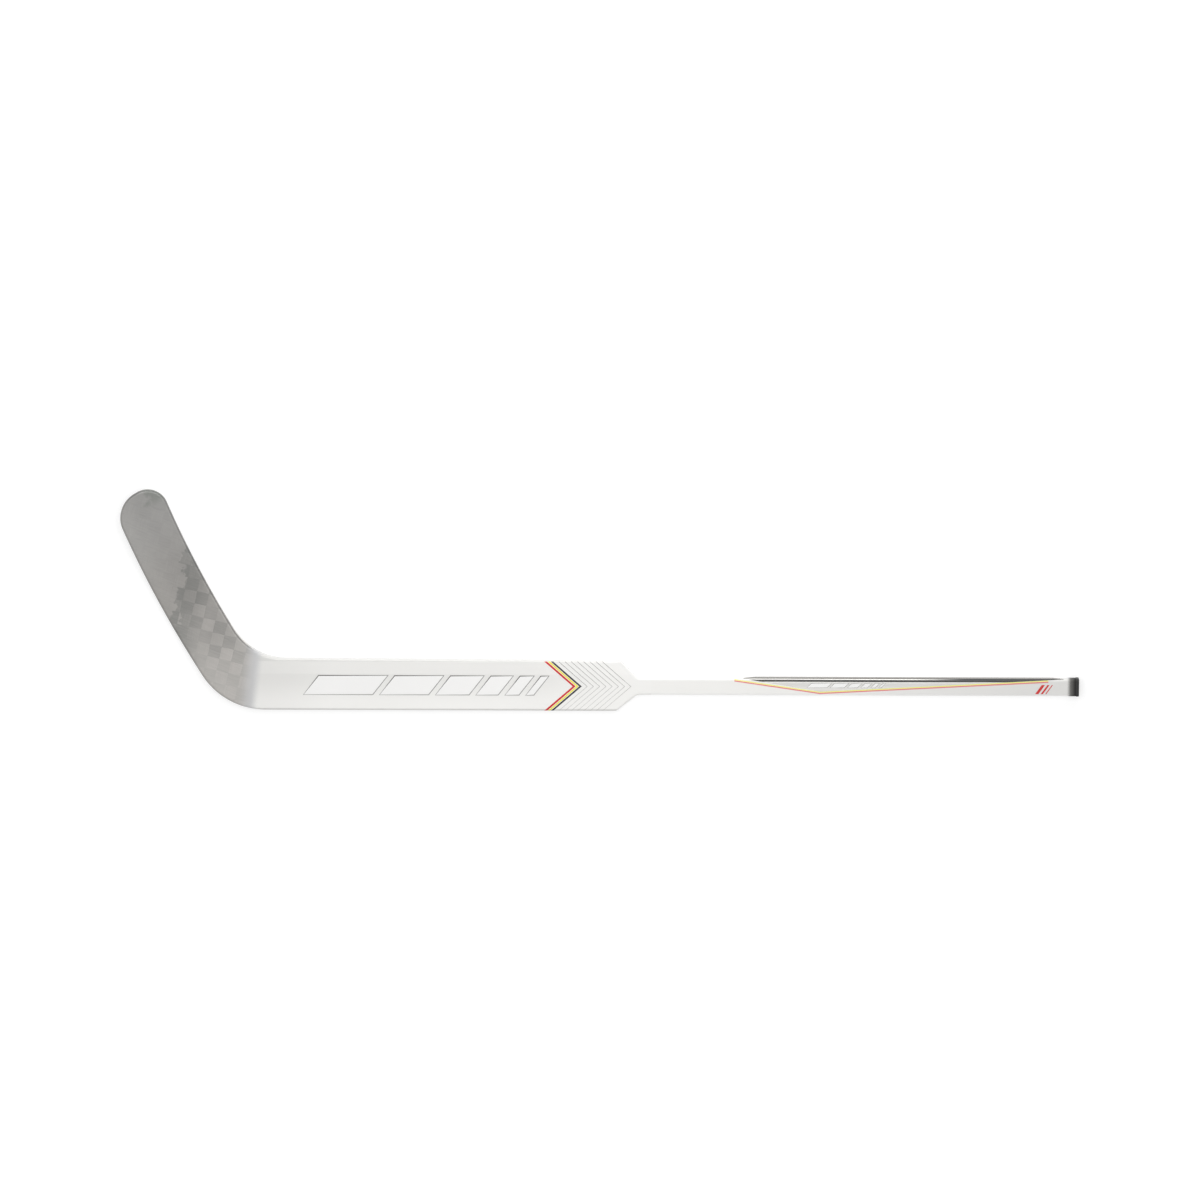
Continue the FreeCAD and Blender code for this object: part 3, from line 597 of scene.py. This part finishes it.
def wrapped_band(start, end, front_edge, side_edge, trims):
    """A sheet round the upper front corner of the shaft, trimmed by planes."""
    mesh = bmesh.new()
    corner = Vector((start, SHAFT_HALF - CORNER, FRONT - CORNER))
    first = mesh.verts.new((start, front_edge, FRONT + PROUD))
    top = mesh.verts.new((start, corner.y, FRONT + PROUD))
    mesh.edges.new((first, top))
    turn = bmesh.ops.spin(mesh, geom=[top], cent=corner, axis=(1.0, 0.0, 0.0), angle=math.radians(-90), steps=8)
    last = next(g for g in turn["geom_last"] if isinstance(g, bmesh.types.BMVert))
    foot = mesh.verts.new((start, SHAFT_HALF + PROUD, side_edge))
    mesh.edges.new((last, foot))
    drawn = bmesh.ops.extrude_edge_only(mesh, edges=mesh.edges[:])["geom"]
    far_verts = [g for g in drawn if isinstance(g, bmesh.types.BMVert)]
    bmesh.ops.translate(mesh, vec=(end - start, 0.0, 0.0), verts=far_verts)
    for place, away in trims:
        bmesh.ops.bisect_plane(mesh, geom=whole(mesh), plane_co=place, plane_no=away, clear_outer=True)
    bmesh.ops.recalc_face_normals(mesh, faces=mesh.faces[:])
    if sum((face.normal.y + face.normal.z) * face.calc_area() for face in mesh.faces) < 0:
        bmesh.ops.reverse_faces(mesh, faces=mesh.faces[:])
    return mesh


def print_shaft():
    """The mirror foil along the shaft's upper corner, with pinstripes under it, and bars by the butt end."""
    start, knee, end = 0.868, 1.000, 1.414
    low = -0.0075
    # the foil's lower border falls steeply, then climbs slowly back to the corner
    fall = Vector((knee - start, low - SHAFT_HALF, 0.0))
    climb = Vector((end - knee, SHAFT_HALF - low, 0.0))
    trims = [((start, SHAFT_HALF, 0.0), (fall.y, -fall.x, 0.0)), ((knee, low, 0.0), (climb.y, -climb.x, 0.0))]
    # on the side its ends lean as the bars do
    trims += [((start, 0.0, FRONT), (-FRONT, 0.0, -0.030)), ((end, 0.0, FRONT), (FRONT, 0.0, -0.030))]
    finish_film("shaft_foil", wrapped_band(start, end, low, 0.0045, trims), mirror_foil)

    # small leaning bars on the foil, as on the paddle
    small = bar_row(0.978, (0.034, 0.024, 0.017, 0.012, 0.008, 0.005), 0.005, -0.0010, 0.0070, 0.0075)
    print_outlined("shaft_bar", small, 0.0007, "shaft_tube", PROUD + FILM)

    # pinstripes that follow the foil's lower border
    stripe_end = end - 0.030
    border = [(start - 0.012, SHAFT_HALF - 0.0012), (knee, low),
              (stripe_end, low + climb.y * (stripe_end - knee) / climb.x)]
    stripes = (("stripe_yellow", 0.0004, 0.0016, pale_yellow_ink), ("stripe_red", 0.0023, 0.0019, rose_ink))
    for name, gap, width, ink in stripes:
        upper = [(x, y - gap) for x, y in border]
        lower = [(x, y - gap - width) for x, y in border]
        mesh = sheet_of([upper[0], upper[1], lower[1], lower[0]], [upper[1], upper[2], lower[2], lower[1]])
        fold(mesh, round_folds(SHAFT_HALF, (8, 24, 38, 50)))
        lay_on(mesh, "shaft_tube")
        finish_film(name, mesh, ink)

    butt_bars = [leaning_bar(place, width, -0.0105, 0.0050, 0.011)
                 for place, width in ((1.362, 0.0055), (1.3715, 0.0035), (1.379, 0.0018))]
    mesh = sheet_of(*butt_bars)
    lay_on(mesh, "shaft_tube")
    finish_film("butt_bars", mesh, red_ink)


print_chevrons()
print_speed_bars()
print_shaft()


# Stage: floor, light and camera

def make_floor():
    """A white card just under the stick, which takes its shadow."""
    mesh = bmesh.new()
    bmesh.ops.create_grid(mesh, x_segments=1, y_segments=1, size=6.0)
    bmesh.ops.translate(mesh, vec=(*MIDDLE, -0.0002), verts=mesh.verts[:])
    data = bpy.data.meshes.new("floor")
    mesh.to_mesh(data)
    mesh.free()
    material = bpy.data.materials.new("white_floor")
    tree = new_tree(material)
    seen = add(tree, "ShaderNodeLightPath").outputs
    watched = sums(tree, "MAXIMUM", sums(tree, "MAXIMUM", seen["Is Camera Ray"], seen["Is Glossy Ray"]),
                   seen["Is Transmission Ray"])
    card = add(tree, "ShaderNodeBsdfDiffuse", {"Color": (0.42, 0.42, 0.42, 1.0)})
    # the card is whiter further from the stick, where the lamps reach it less
    off = split(tree, vectors(tree, "ABSOLUTE", vectors(tree, "SUBTRACT", object_place(tree), (*MIDDLE, 0.0))))
    away = sums(tree, "MAXIMUM", off[1], sums(tree, "SUBTRACT", off[0], 0.8))
    # it also throws some light up onto the rounded edges
    glow = sums(tree, "MULTIPLY", sums(tree, "MAXIMUM", watched, 0.80), ease(tree, away, 0.3, 1.6, 0.66, 0.92))
    glow = add(tree, "ShaderNodeEmission", {"Color": (1.0, 1.0, 1.0, 1.0), "Strength": glow})
    both = add(tree, "ShaderNodeAddShader", {0: card.outputs[0], 1: glow.outputs[0]})
    add(tree, "ShaderNodeOutputMaterial", {"Surface": both.outputs[0]})
    data.materials.append(material)
    floor = bpy.data.objects.new("floor", data)
    bpy.context.scene.collection.objects.link(floor)


def make_world():
    """A pale room that is darker low on the side of the paddle's lower edge."""
    world = bpy.data.worlds.new("studio")
    bpy.context.scene.world = world
    tree = new_tree(world)
    _, y, z = split(tree, add(tree, "ShaderNodeTexCoord").outputs["Generated"])
    side = sums(tree, "ADD", y, sums(tree, "MULTIPLY", z, 0.5))
    strength = ease(tree, side, -0.5, 0.7, 0.40, 0.60)
    seen = add(tree, "ShaderNodeLightPath").outputs["Is Camera Ray"]
    level = add(tree, "ShaderNodeMix", {0: seen, 2: strength, 3: 1.0}).outputs[0]
    room = add(tree, "ShaderNodeBackground", {"Color": (1.0, 1.0, 1.0, 1.0), "Strength": level})
    add(tree, "ShaderNodeOutputWorld", {"Surface": room.outputs[0]})


def hang_softbox(name, place, aim, width, depth, power):
    """A soft lamp of a given size that shines at a place."""
    lamp = bpy.data.lights.new(name, "AREA")
    lamp.shape = "RECTANGLE"
    lamp.size, lamp.size_y = width, depth
    lamp.energy = power
    box = bpy.data.objects.new(name, lamp)
    box.location = place
    box.rotation_euler = (Vector(aim) - Vector(place)).to_track_quat("-Z", "Y").to_euler()
    bpy.context.scene.collection.objects.link(box)


def set_camera():
    """A long lens high above the stick, leaning a little towards its upper edge."""
    tilt, roll, distance, width = math.radians(10.0), math.radians(0.2), 14.0, 2.0182
    aim = Vector((0.6294, 0.1440, 0.0))
    back = Vector((0.0, math.sin(tilt), math.cos(tilt)))
    up = Vector((0.0, math.cos(tilt), -math.sin(tilt)))
    across = Vector((1.0, 0.0, 0.0))
    right = across * math.cos(roll) + up * math.sin(roll)
    top = up * math.cos(roll) - across * math.sin(roll)
    lens = bpy.data.cameras.new("camera")
    lens.sensor_width = 36.0
    lens.lens = lens.sensor_width * distance / width
    lens.clip_end = 100.0
    camera = bpy.data.objects.new("camera", lens)
    camera.matrix_world = Matrix((right, top, back)).transposed().to_4x4()
    camera.location = aim + back * distance
    bpy.context.scene.collection.objects.link(camera)
    bpy.context.scene.camera = camera


make_floor()
make_world()
hang_softbox("overhead_softbox", (0.62, 0.55, 1.6), (0.62, 0.05, 0.0), 1.6, 0.8, 11.3)
hang_softbox("side_softbox", (0.62, 2.2, 0.95), (0.62, 0.0, 0.0), 2.8, 1.6, 26.0)
hang_softbox("low_softbox", (0.62, -2.2, 0.95), (0.62, 0.0, 0.0), 2.8, 1.6, 10.0)
set_camera()
bpy.context.scene.view_settings.view_transform = "Standard"
